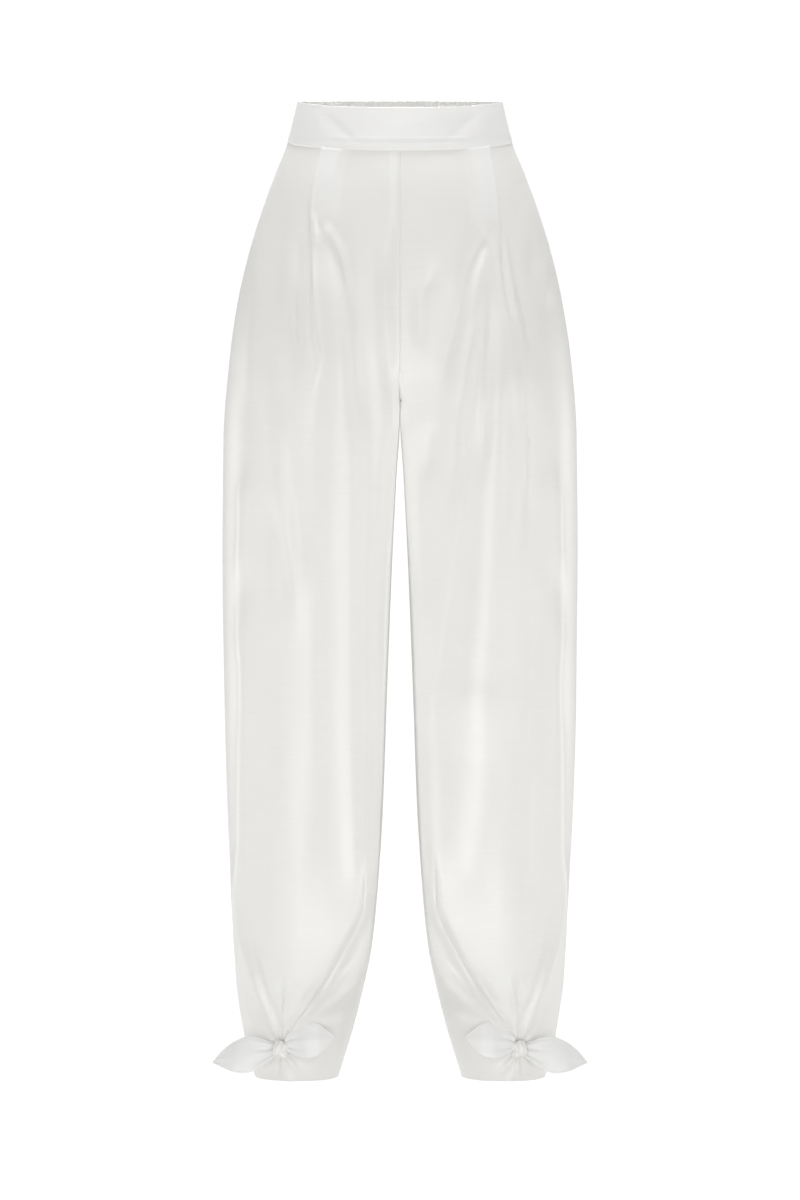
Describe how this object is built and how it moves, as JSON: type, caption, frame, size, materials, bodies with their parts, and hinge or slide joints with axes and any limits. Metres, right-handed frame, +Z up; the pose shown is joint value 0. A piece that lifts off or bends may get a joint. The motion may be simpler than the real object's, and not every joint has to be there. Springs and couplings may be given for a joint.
{
  "type": "shalwar trousers with a high waistband and tied ankles",
  "caption": "Off-white wide shalwar trousers, worn shape with no wearer: smooth front waistband, elastic back, stitched front pleats, legs tied in at the ankles.",
  "frame": {"origin": "on the waist's axis at half the waistband's height, where the wearer's waist holds the garment", "axes": "+Z up along the body, -Y towards the front, +X to the wearer's left; X is level across the hips"},
  "size_m": [0.3994, 0.2512, 1.062],
  "materials": {
    "body_cloth": "off-white silk and linen blend, soft satin sheen, fine level slubs",
    "waistband_cloth": "the same off-white cloth, doubled and firmer, ruched over elastic at the back",
    "tie_cloth": "the same off-white cloth, doubled and turned out, edge-stitched"
  },
  "bodies": {
    "root": {"waistband_front": "waistband_cloth", "waistband_back": "waistband_cloth", "front_leg_left": "body_cloth", "back_leg_left": "body_cloth", "front_leg_right": "body_cloth", "back_leg_right": "body_cloth", "knot_left": "tie_cloth", "outer_tail_left": "tie_cloth", "inner_tail_left": "tie_cloth", "knot_right": "tie_cloth", "outer_tail_right": "tie_cloth", "inner_tail_right": "tie_cloth"}
  },
  "joints": []
}
